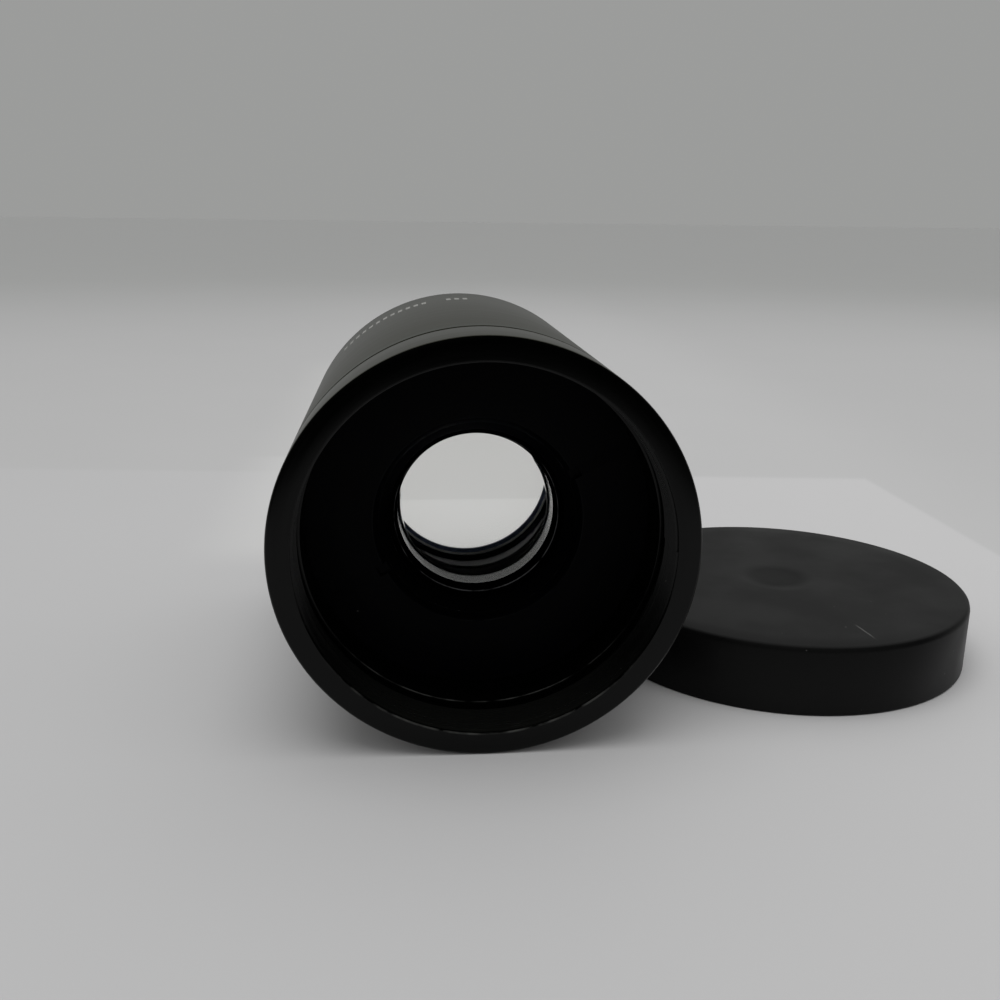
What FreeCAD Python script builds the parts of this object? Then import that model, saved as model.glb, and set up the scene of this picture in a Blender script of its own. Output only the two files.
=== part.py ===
import FreeCAD, Part
import math
import os

from FreeCAD import Vector

# Afocal teleconverter lying on its side, with its slip-on dust cap beside it.
# The optical axis is the Y axis. The origin is the centre of the camera-side mouth,
# +Y runs towards the subject side, and +Z is up. All sizes are in millimetres.

# Camera-side mouth: a fine female thread in a thick ring. The filter thread is the same size.
lens_thread_radius = 35.59
mouth_wall = 4.91
mouth_chamfer = 0.5
camera_thread_length = 10.35
relief_width = 1.35
relief_depth = 0.8
ring_bore_step = 0.39
spigot_wall = 2.25
mount_ring_length = 15.2

# Barrel
overall_length = 98.2
barrel_wall = 3.5
shoulder_height = 1.2
shoulder_length = 3.4
edge_break = 0.4
joint_bevel = 0.35
joint_groove_width = 1.4
joint_groove_slope = 0.15

# Fits between turned pieces
thread_clearance = 0.05
slip_clearance = 0.05
glass_clearance = 0.05
contact_gap = 0.02

# Lens cell of the negative group, clamped between the mount ring and the barrel's shoulder
mouth_depth = 22.4
cell_flange_thickness = 3.7
shim_thickness = 0.3
shim_wall = 1.4
funnel_radius = 21.6
funnel_depth = 6.3
funnel_land_radius = 20.4
funnel_land = 0.45
cell_tube_wall = 1.3
cell_ledge = 0.6
cell_lip_length = 0.8
cell_web = 2.4
notch_width = 2.2
notch_depth = 1.1
notch_reach = 1.6
notch_angle = 27.0

# Negative group, counted from the camera side
rear_glass_radius = 16.85
rear_rim = 0.25
retainer_length = 3.1
retainer_thread_wall = 1.5
retainer_taper = 0.65
retainer_slot_width = 1.6
retainer_slot_depth = 1.0
seat_proud = 0.2
negative_front_curve = 85.0
negative_back_curve = 56.0
negative_thickness = 3.0
spacer_length = 2.46
spacer_wall = 0.45
meniscus_step = 4.4
meniscus_rim = 0.3
meniscus_front_curve = 90.0
meniscus_back_curve = 260.0
meniscus_thickness = 4.6
glass_bevel = 0.15

# Positive group, a cemented doublet near the subject side
objective_cell_wall = 5.4
objective_rim = 1.8
objective_seat_wall = 1.9
crown_front_curve = 91.9
crown_edge = 1.65
cement_curve = 95.0
cement_gap = 0.05
flint_thickness = 3.0
flint_back_curve = 240.0
objective_lip_length = 2.4
objective_retainer_length = 2.2
objective_retainer_wall = 2.4
objective_retainer_chamfer = 0.6
objective_cell_land = 3.0
objective_cell_waist = 1.6

# Front ring with the filter thread
filter_thread_length = 4.1
filter_relief_depth = 0.5
filter_relief_width = 0.7
front_ring_lip = 1.2
front_ring_length = 7.6
front_ring_lip_overlap = 0.65

# Light baffle between the two groups
baffle_steps = 8
baffle_wall = 0.9
baffle_collar_length = 4.6
baffle_collar_wall = 1.1
baffle_rear_clear = 0.05
baffle_front_land = 2.1

# Grub screws that lock the mount ring and the front ring
grub_radius = 1.0
grub_clearance = 0.02
grub_sink = 0.3
grub_slot_width = 0.4
grub_slot_depth = 0.7
grub_cone = 0.3
grub_angles = (45.0, 165.0, 285.0)
mount_grub_offset = 3.6
front_grub_offset = 3.6

# Slip-on dust cap, lying open side down beside the barrel
cap_fit = 0.25
cap_liner_thickness = 1.2
cap_liner_length = 10.5
cap_liner_lift = 0.8
cap_glue_gap = 0.05
cap_wall = 2.2
cap_height = 15.5
cap_top = 2.4
cap_edge_round = 1.3
cap_foot_round = 0.5
cap_dimple_radius = 9.0
cap_dimple_depth = 0.25
cap_gap = 0.8
cap_along = 55.0

# Sizes that follow from the ones above
barrel_radius = lens_thread_radius + mouth_wall
ring_bore_radius = lens_thread_radius - ring_bore_step
spigot_radius = ring_bore_radius + spigot_wall
spigot_bore_radius = spigot_radius + thread_clearance
barrel_bore_radius = barrel_radius - barrel_wall
shoulder_radius = barrel_bore_radius - shoulder_height
cell_seat_depth = mouth_depth + cell_flange_thickness + shim_thickness
objective_retainer_back = overall_length - front_ring_length - objective_retainer_length
objective_cell_front = overall_length - front_ring_length


def sag(curve, radius):
    """Depth of a sphere of radius curve at a distance radius from its axis."""
    return curve - math.sqrt(curve * curve - radius * radius)


# Places along the axis in the negative group
retainer_front = mouth_depth + funnel_depth
rear_seat = retainer_front + retainer_length
rear_clear_radius = rear_glass_radius - rear_rim
meniscus_radius = rear_glass_radius + meniscus_step
meniscus_clear_radius = meniscus_radius - meniscus_rim
meniscus_bore = meniscus_radius + glass_clearance
spacer_inner_radius = meniscus_radius - spacer_wall
negative_front_vertex = rear_seat + sag(negative_front_curve, rear_clear_radius)
negative_back_vertex = negative_front_vertex + negative_thickness
negative_back_rim = negative_back_vertex + sag(negative_back_curve, rear_clear_radius)
spacer_seat = negative_back_rim + cell_ledge + spacer_inner_radius - rear_clear_radius
spacer_back = spacer_seat + spacer_length
meniscus_front_vertex = spacer_back + contact_gap - sag(meniscus_front_curve, spacer_inner_radius)
meniscus_back_vertex = meniscus_front_vertex + meniscus_thickness
cell_lip_face = meniscus_back_vertex + sag(meniscus_back_curve, meniscus_clear_radius)
cell_end = cell_lip_face + cell_lip_length
cell_glass_bore = rear_glass_radius + glass_clearance
cell_thread_radius = cell_glass_bore + retainer_thread_wall
cell_tube_radius = meniscus_bore + cell_tube_wall

# Radii and places along the axis in the positive group
objective_cell_radius = barrel_bore_radius - slip_clearance
objective_glass_bore = objective_cell_radius - objective_cell_wall
objective_glass_radius = objective_glass_bore - glass_clearance
objective_clear_radius = objective_glass_radius - objective_rim
objective_seat_radius = objective_glass_radius - objective_seat_wall
objective_thread_radius = objective_clear_radius + objective_retainer_wall + thread_clearance
front_ring_lip_radius = objective_thread_radius + front_ring_lip_overlap
baffle_front_radius = objective_seat_radius + baffle_front_land
contact_sag = sag(crown_front_curve, objective_clear_radius)
crown_front_vertex = objective_retainer_back - contact_gap + contact_sag
crown_bulge = sag(crown_front_curve, objective_glass_radius) + sag(cement_curve, objective_glass_radius)
crown_back_vertex = crown_front_vertex - crown_edge - crown_bulge
flint_front_vertex = crown_back_vertex - cement_gap
flint_back_vertex = flint_front_vertex - flint_thickness
objective_seat = flint_back_vertex + sag(flint_back_curve, objective_seat_radius)
objective_cell_back = objective_seat - objective_lip_length
front_shoulder_start = objective_cell_back - shoulder_length

# Place of the dust cap: its rounded edge clears the barrel's flank by cap_gap
cap_bore_radius = barrel_radius + cap_fit + cap_liner_thickness + cap_glue_gap
cap_radius = cap_bore_radius + cap_wall
floor_level = -barrel_radius
cap_round_centre = floor_level + cap_height - cap_edge_round
cap_reach = math.sqrt((barrel_radius + cap_edge_round + cap_gap) ** 2 - cap_round_centre ** 2)
cap_across = cap_reach + cap_radius - cap_edge_round


class Section:
    """Half section of a turned piece: radius across, distance along the axis."""

    def __init__(self, radius, along):
        """Start the outline at one corner."""
        self.first = (radius, along)
        self.here = (radius, along)
        self.edges = []

    def point(self, corner):
        """Corner of the half section as a point in space."""
        return Vector(corner[0], corner[1], 0)

    def line(self, radius, along):
        """Draw a straight side to the next corner."""
        there = (radius, along)
        self.edges.append(Part.LineSegment(self.point(self.here), self.point(there)).toShape())
        self.here = there
        return self

    def sphere(self, radius, along, curve, vertex, towards):
        """Draw the arc of a spherical face; towards is +1 where it rises along +Y."""
        there = (radius, along)
        middle_radius = (self.here[0] + radius) / 2
        middle = (middle_radius, vertex + towards * sag(curve, middle_radius))
        arc = Part.Arc(self.point(self.here), self.point(middle), self.point(there))
        self.edges.append(arc.toShape())
        self.here = there
        return self

    def turn(self):
        """Close the outline and turn it about the optical axis."""
        self.line(*self.first)
        face = Part.Face(Part.Wire(self.edges))
        return face.revolve(Vector(0, 0, 0), Vector(0, 1, 0), 360)


def radial(angle):
    """Unit direction across the axis, counted from +X towards +Z."""
    turn = math.radians(angle)
    return Vector(math.cos(turn), 0, math.sin(turn))


def radial_block(angle, inner, outer, along, length, width):
    """Block that runs from the inner to the outer radius at one angle."""
    block = Part.makeBox(outer - inner, length, width, Vector(inner, along, -width / 2))
    block.rotate(Vector(0, 0, 0), Vector(0, 1, 0), -angle)
    return block


def funnel_along(radius):
    """Distance along the axis of the funnel's face at a radius."""
    slope = funnel_depth / (funnel_radius - rear_clear_radius - retainer_taper)
    return mouth_depth + (funnel_radius - radius) * slope


def make_mount_ring():
    """Camera-side ring with the female thread, its relief groove and the spigot behind."""
    relief_start = mouth_chamfer + camera_thread_length
    relief_end = relief_start + relief_width
    relief_radius = lens_thread_radius + relief_depth
    ring = Section(lens_thread_radius + mouth_chamfer, 0)
    ring.line(barrel_radius - edge_break, 0)
    ring.line(barrel_radius, edge_break)
    ring.line(barrel_radius, mount_ring_length - joint_bevel)
    ring.line(barrel_radius - joint_bevel, mount_ring_length)
    ring.line(spigot_radius, mount_ring_length)
    ring.line(spigot_radius, mouth_depth - edge_break)
    ring.line(spigot_radius - edge_break, mouth_depth)
    ring.line(ring_bore_radius, mouth_depth)
    ring.line(ring_bore_radius, relief_end)
    ring.line(relief_radius, relief_end)
    ring.line(relief_radius, relief_start)
    ring.line(lens_thread_radius, relief_start)
    ring.line(lens_thread_radius, mouth_chamfer)
    return ring.turn()


def grub_places():
    """Along, tip radius and angle of each grub screw."""
    mount_along = mount_ring_length + mount_grub_offset
    front_along = overall_length - front_grub_offset
    front_tip = barrel_bore_radius - thread_clearance
    for angle in grub_angles:
        yield mount_along, spigot_radius, angle
        yield front_along, front_tip, angle


def make_main_barrel():
    """Outer tube with two inner shoulders and tapped holes for the grub screws."""
    tube = Section(spigot_bore_radius, mount_ring_length)
    tube.line(barrel_radius - joint_bevel, mount_ring_length)
    tube.line(barrel_radius - joint_bevel, mount_ring_length + joint_groove_width - joint_groove_slope)
    tube.line(barrel_radius, mount_ring_length + joint_groove_width)
    tube.line(barrel_radius, overall_length - edge_break)
    tube.line(barrel_radius - edge_break, overall_length)
    tube.line(barrel_bore_radius, overall_length)
    tube.line(barrel_bore_radius, objective_cell_back)
    tube.line(shoulder_radius, objective_cell_back)
    tube.line(shoulder_radius, front_shoulder_start)
    tube.line(barrel_bore_radius, front_shoulder_start - shoulder_height)
    tube.line(barrel_bore_radius, cell_seat_depth + shoulder_length + shoulder_height)
    tube.line(shoulder_radius, cell_seat_depth + shoulder_length)
    tube.line(shoulder_radius, cell_seat_depth)
    tube.line(spigot_bore_radius, cell_seat_depth)
    solid = tube.turn()
    for along, tip, angle in grub_places():
        way = radial(angle)
        start = way * (tip - grub_sink) + Vector(0, along, 0)
        length = barrel_radius - tip + 2 * grub_sink
        solid = solid.cut(Part.makeCylinder(grub_radius, length, start, way))
    return solid


def make_grub_screws():
    """Slotted grub screws, one in each tapped hole."""
    screws = []
    for along, tip, angle in grub_places():
        way = radial(angle)
        radius = grub_radius - grub_clearance
        tip_point = way * (tip + contact_gap) + Vector(0, along, 0)
        cone = Part.makeCone(radius - grub_cone, radius, grub_cone, tip_point, way)
        length = barrel_radius - grub_sink - tip - contact_gap - grub_cone
        shank = Part.makeCylinder(radius, length, tip_point + way * grub_cone, way)
        slot_floor = barrel_radius - grub_sink - grub_slot_depth
        slot = radial_block(angle, slot_floor, barrel_radius, along - grub_radius,
                            2 * grub_radius, grub_slot_width)
        screws.append(cone.fuse(shank).cut(slot).removeSplitter())
    return Part.makeCompound(screws)


def make_cell_shim():
    """Thin brass washer that sets the distance between the two glass groups."""
    outer = spigot_bore_radius - glass_clearance
    shim = Section(outer - shim_wall, cell_seat_depth - shim_thickness)
    shim.line(outer, cell_seat_depth - shim_thickness)
    shim.line(outer, cell_seat_depth)
    shim.line(outer - shim_wall, cell_seat_depth)
    return shim.turn()


def make_lens_cell():
    """Flanged cell: funnel mouth, threaded bore, ledge between the glass bores, rolled back lip."""
    flange_radius = spigot_bore_radius - slip_clearance
    flange_back = mouth_depth + cell_flange_thickness
    cell = Section(funnel_radius, mouth_depth)
    cell.line(flange_radius, mouth_depth)
    cell.line(flange_radius, flange_back)
    cell.line(cell_tube_radius + cell_web, flange_back)
    cell.line(cell_tube_radius, flange_back + cell_web)
    cell.line(cell_tube_radius, cell_end)
    cell.line(meniscus_clear_radius, cell_end)
    cell.line(meniscus_clear_radius, cell_lip_face)
    cell.line(meniscus_bore, cell_lip_face)
    cell.line(meniscus_bore, spacer_seat)
    cell.line(spacer_inner_radius, spacer_seat)
    cell.line(rear_clear_radius, negative_back_rim + cell_ledge)
    cell.line(rear_clear_radius, negative_back_rim)
    cell.line(cell_glass_bore, negative_back_rim)
    cell.line(cell_glass_bore, rear_seat + seat_proud)
    cell.line(cell_thread_radius, rear_seat + seat_proud)
    cell.line(cell_thread_radius, funnel_along(cell_thread_radius))
    cell.line(funnel_land_radius, funnel_along(funnel_land_radius) + funnel_land)
    cell.line(funnel_land_radius, funnel_along(funnel_land_radius))
    solid = cell.turn()
    for angle in (notch_angle, notch_angle + 180):
        solid = solid.cut(radial_block(angle, funnel_radius - notch_reach, funnel_radius + notch_reach,
                                       mouth_depth, notch_depth, notch_width))
    return solid


def make_lens_cell_retainer():
    """Threaded ring that holds the negative element, with two spanner slots."""
    outer = cell_thread_radius - thread_clearance
    ring = Section(rear_clear_radius + retainer_taper, retainer_front)
    ring.line(outer, funnel_along(outer))
    ring.line(outer, rear_seat)
    ring.line(rear_clear_radius, rear_seat)
    solid = ring.turn()
    slot_floor = retainer_front + retainer_slot_depth
    slot_start = rear_clear_radius + retainer_taper + retainer_slot_depth / 2
    for angle in (notch_angle + 90, notch_angle + 270):
        solid = solid.cut(radial_block(angle, slot_start, outer + retainer_slot_depth, mouth_depth,
                                       slot_floor - mouth_depth, retainer_slot_width))
    return solid


def make_negative_element():
    """Biconcave element with a flat seat round each face and a ground edge."""
    glass = Section(0, negative_front_vertex)
    glass.sphere(rear_clear_radius, rear_seat, negative_front_curve, negative_front_vertex, -1)
    glass.line(rear_glass_radius - glass_bevel, rear_seat)
    glass.line(rear_glass_radius, rear_seat + glass_bevel)
    glass.line(rear_glass_radius, negative_back_rim - glass_bevel)
    glass.line(rear_glass_radius - glass_bevel, negative_back_rim)
    glass.line(rear_clear_radius, negative_back_rim)
    glass.sphere(0, negative_back_vertex, negative_back_curve, negative_back_vertex, 1)
    return glass.turn()


def make_spacer_ring():
    """Plain sleeve that parts the two rear elements, seated on the cell's shoulder."""
    outer = meniscus_bore - slip_clearance
    ring = Section(spacer_inner_radius, spacer_seat)
    ring.line(outer, spacer_seat)
    ring.line(outer, spacer_back)
    ring.line(spacer_inner_radius, spacer_back)
    return ring.turn()


def make_meniscus_element():
    """Weak positive meniscus, convex towards the camera side."""
    rim = meniscus_front_vertex + sag(meniscus_front_curve, meniscus_radius)
    glass = Section(0, meniscus_front_vertex)
    glass.sphere(meniscus_radius, rim, meniscus_front_curve, meniscus_front_vertex, 1)
    glass.line(meniscus_radius, cell_lip_face - glass_bevel)
    glass.line(meniscus_radius - glass_bevel, cell_lip_face)
    glass.line(meniscus_clear_radius, cell_lip_face)
    glass.sphere(0, meniscus_back_vertex, meniscus_back_curve, meniscus_back_vertex, 1)
    return glass.turn()


def make_light_baffle():
    """Conical shade from the lens cell to the objective cell, stepped inside against glare."""
    rear_radius = cell_tube_radius + baffle_rear_clear
    run = objective_cell_back - cell_end
    step_out = (baffle_front_radius - rear_radius) / baffle_steps
    step_along = run / baffle_steps
    shade = Section(rear_radius, cell_end - baffle_collar_length)
    shade.line(rear_radius + baffle_collar_wall, cell_end - baffle_collar_length)
    shade.line(rear_radius + step_out + baffle_wall, cell_end)
    shade.line(baffle_front_radius + baffle_wall, objective_cell_back - step_along)
    shade.line(baffle_front_radius + baffle_wall, objective_cell_back)
    for step in range(baffle_steps, 0, -1):
        radius = rear_radius + step * step_out
        shade.line(radius, cell_end + step * step_along)
        shade.line(radius, cell_end + (step - 1) * step_along)
    shade.line(rear_radius, cell_end)
    return shade.turn()


def make_objective_cell():
    """Cell of the positive group: back lip, glass bore, threaded front, waisted outside."""
    waist_radius = objective_cell_radius - objective_cell_waist
    waist_start = objective_cell_back + objective_cell_land
    waist_end = objective_cell_front - objective_cell_land
    thread_start = objective_retainer_back - seat_proud
    cell = Section(objective_seat_radius, objective_cell_back)
    cell.line(objective_cell_radius, objective_cell_back)
    cell.line(objective_cell_radius, waist_start)
    cell.line(waist_radius, waist_start + objective_cell_waist / 2)
    cell.line(waist_radius, waist_end - objective_cell_waist / 2)
    cell.line(objective_cell_radius, waist_end)
    cell.line(objective_cell_radius, objective_cell_front)
    cell.line(objective_thread_radius, objective_cell_front)
    cell.line(objective_thread_radius, thread_start)
    cell.line(objective_glass_bore, thread_start)
    cell.line(objective_glass_bore, objective_seat)
    cell.line(objective_seat_radius, objective_seat)
    return cell.turn()


def make_objective_flint():
    """Rear half of the cemented doublet, seated on a flat round its back face."""
    front_rim = flint_front_vertex + sag(cement_curve, objective_glass_radius)
    glass = Section(0, flint_back_vertex)
    glass.sphere(objective_seat_radius, objective_seat, flint_back_curve, flint_back_vertex, 1)
    glass.line(objective_glass_radius - glass_bevel, objective_seat)
    glass.line(objective_glass_radius, objective_seat + glass_bevel)
    glass.line(objective_glass_radius, front_rim)
    glass.sphere(0, flint_front_vertex, cement_curve, flint_front_vertex, 1)
    return glass.turn()


def make_objective_crown():
    """Front half of the cemented doublet, domed towards the subject."""
    back_rim = crown_back_vertex + sag(cement_curve, objective_glass_radius)
    front_rim = crown_front_vertex - sag(crown_front_curve, objective_glass_radius)
    glass = Section(0, crown_back_vertex)
    glass.sphere(objective_glass_radius, back_rim, cement_curve, crown_back_vertex, 1)
    glass.line(objective_glass_radius, front_rim)
    glass.sphere(0, crown_front_vertex, crown_front_curve, crown_front_vertex, -1)
    return glass.turn()


def make_objective_retainer():
    """Threaded ring that holds the front glass, with two spanner slots."""
    outer = objective_thread_radius - thread_clearance
    ring = Section(objective_clear_radius, objective_retainer_back)
    ring.line(outer, objective_retainer_back)
    ring.line(outer, objective_cell_front)
    ring.line(objective_clear_radius + objective_retainer_chamfer, objective_cell_front)
    ring.line(objective_clear_radius, objective_cell_front - objective_retainer_chamfer)
    solid = ring.turn()
    slot_start = objective_clear_radius + objective_retainer_wall / 2
    for angle in (notch_angle, notch_angle + 180):
        solid = solid.cut(radial_block(angle, slot_start, outer + retainer_slot_depth,
                                       objective_cell_front - retainer_slot_depth,
                                       2 * retainer_slot_depth, retainer_slot_width))
    return solid


def make_front_ring():
    """Threaded ring at the subject end: clamps the objective cell and carries the filter thread."""
    outer = barrel_bore_radius - thread_clearance
    lip_front = objective_cell_front + front_ring_lip
    thread_front = overall_length - mouth_chamfer
    thread_back = thread_front - filter_thread_length
    relief_radius = lens_thread_radius + filter_relief_depth
    ring = Section(front_ring_lip_radius, objective_cell_front)
    ring.line(outer, objective_cell_front)
    ring.line(outer, overall_length)
    ring.line(lens_thread_radius + mouth_chamfer, overall_length)
    ring.line(lens_thread_radius, thread_front)
    ring.line(lens_thread_radius, thread_back)
    ring.line(relief_radius, thread_back)
    ring.line(relief_radius, thread_back - filter_relief_width)
    ring.line(lens_thread_radius - front_ring_lip, lip_front)
    ring.line(front_ring_lip_radius + front_ring_lip / 2, lip_front)
    ring.line(front_ring_lip_radius, lip_front - front_ring_lip / 2)
    return ring.turn()


def level_circles(solid, height):
    """Circular edges of an upright round solid that lie at one height."""
    return [edge for edge in solid.Edges
            if edge.Curve.TypeId == "Part::GeomCircle"
            and abs(edge.BoundBox.ZMin - height) < contact_gap
            and abs(edge.BoundBox.ZMax - height) < contact_gap]


def make_dust_cap():
    """Moulded slip-on cap with a rounded top edge and a shallow dimple in its top."""
    outline = Part.makeCylinder(cap_radius, cap_height)
    outline = outline.makeFillet(cap_edge_round, level_circles(outline, cap_height))
    outline = outline.makeFillet(cap_foot_round, level_circles(outline, 0))
    hollow_height = cap_height - cap_top
    hollow = Part.makeCylinder(cap_bore_radius, hollow_height)
    dimple = Part.makeCone(cap_dimple_radius - cap_dimple_depth, cap_dimple_radius, cap_dimple_depth,
                           Vector(0, 0, cap_height - cap_dimple_depth))
    cap = outline.cut(hollow).cut(dimple)
    cap.translate(Vector(cap_across, cap_along, floor_level))
    return cap


def make_cap_liner():
    """Felt strip glued round the inside of the cap, which grips the barrel."""
    outer_radius = cap_bore_radius - cap_glue_gap
    foot = Vector(cap_across, cap_along, floor_level + cap_liner_lift)
    outer = Part.makeCylinder(outer_radius, cap_liner_length, foot)
    inner = Part.makeCylinder(outer_radius - cap_liner_thickness, cap_liner_length, foot)
    return outer.cut(inner)


pieces = {
    "mount_ring": make_mount_ring,
    "main_barrel": make_main_barrel,
    "grub_screws": make_grub_screws,
    "cell_shim": make_cell_shim,
    "lens_cell": make_lens_cell,
    "lens_cell_retainer": make_lens_cell_retainer,
    "negative_element": make_negative_element,
    "spacer_ring": make_spacer_ring,
    "meniscus_element": make_meniscus_element,
    "light_baffle": make_light_baffle,
    "objective_cell": make_objective_cell,
    "objective_flint": make_objective_flint,
    "objective_crown": make_objective_crown,
    "objective_retainer": make_objective_retainer,
    "front_ring": make_front_ring,
    "dust_cap": make_dust_cap,
    "cap_liner": make_cap_liner,
}

os.makedirs("parts", exist_ok=True)
for name, make in pieces.items():
    make().exportStep("parts/" + name + ".step")
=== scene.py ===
import logging
import math
from collections.abc import Callable
from dataclasses import dataclass
from enum import Enum
from functools import cache

import bmesh
import bpy
from mathutils import Matrix, Vector


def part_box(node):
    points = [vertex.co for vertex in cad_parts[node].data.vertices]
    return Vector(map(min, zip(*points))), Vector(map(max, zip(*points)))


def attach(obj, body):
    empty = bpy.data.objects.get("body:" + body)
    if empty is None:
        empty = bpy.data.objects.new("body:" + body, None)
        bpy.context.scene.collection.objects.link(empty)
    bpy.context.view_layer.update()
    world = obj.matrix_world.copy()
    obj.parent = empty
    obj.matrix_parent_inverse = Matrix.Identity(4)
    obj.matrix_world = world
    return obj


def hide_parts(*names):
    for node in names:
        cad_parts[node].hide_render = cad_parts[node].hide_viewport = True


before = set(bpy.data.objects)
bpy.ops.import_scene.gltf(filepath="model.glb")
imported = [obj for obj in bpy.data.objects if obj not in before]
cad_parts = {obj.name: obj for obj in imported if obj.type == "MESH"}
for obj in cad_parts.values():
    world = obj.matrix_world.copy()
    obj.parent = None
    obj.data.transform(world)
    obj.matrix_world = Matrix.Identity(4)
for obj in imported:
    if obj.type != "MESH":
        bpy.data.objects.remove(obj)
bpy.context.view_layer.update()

MM = 0.001
SMOOTH_ANGLE = math.radians(32)
WELD = 0.001 * MM

# Fineness of roundings, glass faces and turned pieces
ROUND_STEPS = 3
GLASS_RINGS = 40
LARGE_FLATS = 320
FLATS = 256
BAFFLE_FLATS = 128

# Sizes in millimetres that several pieces share
CLEARANCE = 0.05
EDGE_BREAK = 0.4
JOINT_BEVEL = 0.35
THREAD_ROOT = 35.98
THREAD_CREST = 35.59
THREAD_RELIEF = 36.4
CUT_START = 20.0
SLOT_DEPTH = 1.0
SLOT_HALF = 0.8

log = logging.getLogger("teleconverter")

Colour = tuple[float, float, float]
Socket = bpy.types.NodeSocket


# Modelling helpers


class Axis(Enum):
    """The two axes about which pieces are turned."""

    OPTICAL = (0.0, 1.0, 0.0)
    UPRIGHT = (0.0, 0.0, 1.0)


def deselect_all() -> None:
    """Leave nothing selected, because an operator acts on all that is."""
    if bpy.context.mode != "OBJECT":
        bpy.ops.object.mode_set(mode="OBJECT")
    bpy.ops.object.select_all(action="DESELECT")


def pick(piece: bpy.types.Object) -> None:
    """Select one object alone and make it the active one."""
    deselect_all()
    piece.select_set(True)
    bpy.context.view_layer.objects.active = piece


def on_all(operator: Callable[..., object], **settings: object) -> None:
    """Run a mesh operator on all of the piece that is in edit mode."""
    bpy.ops.mesh.select_all(action="SELECT")
    operator(**settings)


class Turning:
    """Half a section, drawn corner by corner in edit mode and spun about its axis.

    Radii and distances along the axis are in millimetres. An outline that starts on the axis
    also ends there, and any other is closed back to its first corner.
    """

    def __init__(self, name: str, axis: Axis = Axis.OPTICAL, centre: tuple[float, float] = (0.0, 0.0)) -> None:
        """Set where the piece is turned.

        Args:
            name: Name of the finished object.
            axis: Axis of the turning.
            centre: X and Y of an upright axis, in millimetres.
        """
        self.name = name
        self.axis = axis
        self.centre = Vector((centre[0], centre[1], 0.0))
        self.corners: list[tuple[float, float]] = []
        self.rounds: list[tuple[Vector, float]] = []

    def place(self, radius: float, along: float) -> Vector:
        """Point of the half section in metres."""
        if self.axis is Axis.OPTICAL:
            return Vector((radius, along, 0.0)) * MM
        return (self.centre + Vector((radius, 0.0, along))) * MM

    def start(self, radius: float, along: float, edge: float = 0.0) -> None:
        """Lay down the first corner, given as for line."""
        deselect_all()
        bpy.ops.mesh.primitive_plane_add(size=MM, location=self.place(radius, along))
        piece = bpy.context.object
        piece.name = self.name
        piece.data.name = self.name
        bpy.ops.object.transform_apply(location=True)
        bpy.ops.object.mode_set(mode="EDIT")
        bpy.ops.mesh.select_mode(type="VERT")
        on_all(bpy.ops.mesh.merge, type="CENTER")
        self.corners.append((radius, along))
        self.note_round(edge)

    def note_round(self, edge: float) -> None:
        """Remember that the last corner is rounded."""
        if edge > 0:
            self.rounds.append((self.place(*self.corners[-1]), edge * MM))

    def line(self, radius: float, along: float, edge: float = 0.0) -> None:
        """Extrude the last corner to the next one.

        Args:
            radius: Distance of the next corner from the axis.
            along: Its place along the axis.
            edge: Size of the rounding there.
        """
        step = self.place(radius, along) - self.place(*self.corners[-1])
        bpy.ops.mesh.extrude_region_move(TRANSFORM_OT_translate={"value": step})
        self.corners.append((radius, along))
        self.note_round(edge)

    def path(self, *corners: tuple[float, ...]) -> "Turning":
        """Draw a row of straight lines.

        Args:
            corners: Radius and place along the axis of each corner, and the size of a rounding there.

        Returns:
            The turning itself, so that the outline can be chained.
        """
        for corner in corners:
            if self.corners:
                self.line(*corner)
            else:
                self.start(*corner)
        return self

    def dome(self, radius: float, vertex: float, curve: float) -> "Turning":
        """Follow a spherical face from the last corner to another radius.

        Args:
            radius: Distance from the axis at which the face ends.
            vertex: Where the whole sphere would cross the axis.
            curve: Its radius, positive where the face rises along the axis away from the middle.

        Returns:
            The turning itself.
        """
        first = self.corners[-1][0]
        for step in range(1, GLASS_RINGS + 1):
            here = first + (radius - first) * step / GLASS_RINGS
            depth = abs(curve) - math.sqrt(curve * curve - here * here)
            self.line(here, vertex + math.copysign(depth, curve))
        return self

    def round_corners(self, data: bpy.types.Mesh) -> None:
        """Bevel each corner that asked for it, while the outline is still flat."""
        for corner, size in self.rounds:
            bpy.ops.mesh.select_all(action="DESELECT")
            mesh = bmesh.from_edit_mesh(data)
            nearest = min(mesh.verts, key=lambda vertex: (vertex.co - corner).length)
            nearest.select_set(True)
            bmesh.update_edit_mesh(data)
            bpy.ops.mesh.bevel(offset=size, segments=ROUND_STEPS, affect="VERTICES")

    def spin(self, steps: int = FLATS) -> bpy.types.Object:
        """Close the outline, round its corners and turn it once round the axis.

        Args:
            steps: Number of flats round the piece.

        Returns:
            The finished object, at the origin.
        """
        piece = bpy.context.object
        if self.corners[0][0] > 0:
            self.line(*self.corners[0])
        on_all(bpy.ops.mesh.remove_doubles, threshold=WELD)
        self.round_corners(piece.data)
        on_all(bpy.ops.mesh.spin, steps=steps, angle=math.tau, center=self.centre * MM, axis=self.axis.value)
        on_all(bpy.ops.mesh.remove_doubles, threshold=WELD)
        on_all(bpy.ops.mesh.normals_make_consistent, inside=False)
        bpy.ops.object.mode_set(mode="OBJECT")
        smooth(piece)
        return piece


def smooth(piece: bpy.types.Object) -> None:
    """Shade a piece smooth except across its sharp edges."""
    pick(piece)
    bpy.ops.object.shade_smooth_by_angle(angle=SMOOTH_ANGLE)


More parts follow.
